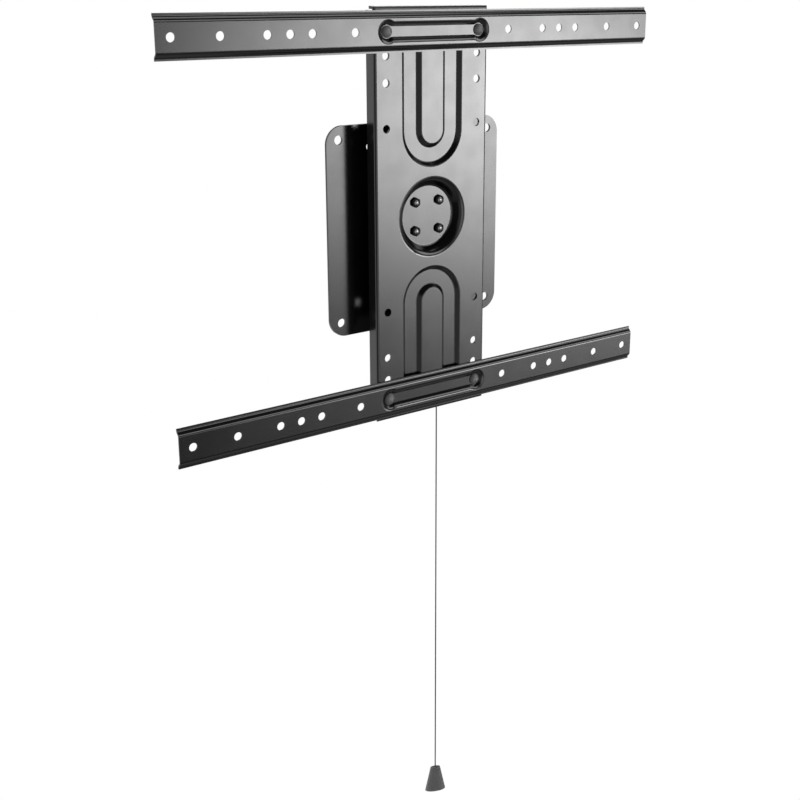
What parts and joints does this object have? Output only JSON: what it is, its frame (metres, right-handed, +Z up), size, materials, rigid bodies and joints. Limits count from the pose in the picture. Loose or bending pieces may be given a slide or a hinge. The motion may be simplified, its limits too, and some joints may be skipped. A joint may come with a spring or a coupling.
{
  "type": "swivel tv wall mount",
  "caption": "Flat black wall mount whose slotted plate and two drilled rails turn about a hub, with a spring latch freed by a pull cord.",
  "frame": {"origin": "centre of the wall plate's four corner holes, on the wall's surface", "axes": "+X to the viewer's right along the rails, +Y into the wall, +Z up; the turning axis runs along Y through X 0, Z 12.5 mm"},
  "size_m": [0.63, 0.039, 0.9834],
  "materials": {
    "black_coat": "satin black powder coat",
    "black_steel": "black oxide",
    "bare_steel": "zinc plated",
    "white_plastic": "natural acetal",
    "cast_metal": "as cast",
    "black_cord": "thin braided cord",
    "black_plastic": "satin"
  },
  "bodies": {
    "wall_side": {"wall_plate": "black_coat", "pivot_bolt": "bare_steel", "rear_thrust_washer": "white_plastic", "retaining_washer": "bare_steel", "pivot_nut": "bare_steel", "latch_guide": "black_coat", "guide_screws": "bare_steel", "latch_spring": "bare_steel"},
    "rotor": {"index_disc": "bare_steel", "flange_bush": "white_plastic", "hub_studs": "black_steel", "hub_spacers": "bare_steel", "hub_nuts": "black_steel", "front_plate": "black_coat", "upper_rail": "black_coat", "lower_rail": "black_coat", "rail_bolts": "black_steel", "rail_washers": "black_steel", "rail_nuts": "black_steel"},
    "latch": {"latch_slide": "cast_metal", "cord_ferrules": "bare_steel", "pull_cord": "black_cord", "pull_knob": "black_plastic"}
  },
  "joints": [
    {"name": "rotor_turn", "type": "hinge", "parent": "wall_side", "child": "rotor", "pos_m": [0, 0, 0.0125], "axis": [0, -1, 0], "continuous": true},
    {"name": "latch_pull", "type": "slide", "parent": "wall_side", "child": "latch", "axis": [0, 0, -1], "range_m": [0, 0.007], "stiffness_N_per_m": 2800, "springref_m": -0.003, "deforming": ["latch_spring"]}
  ]
}
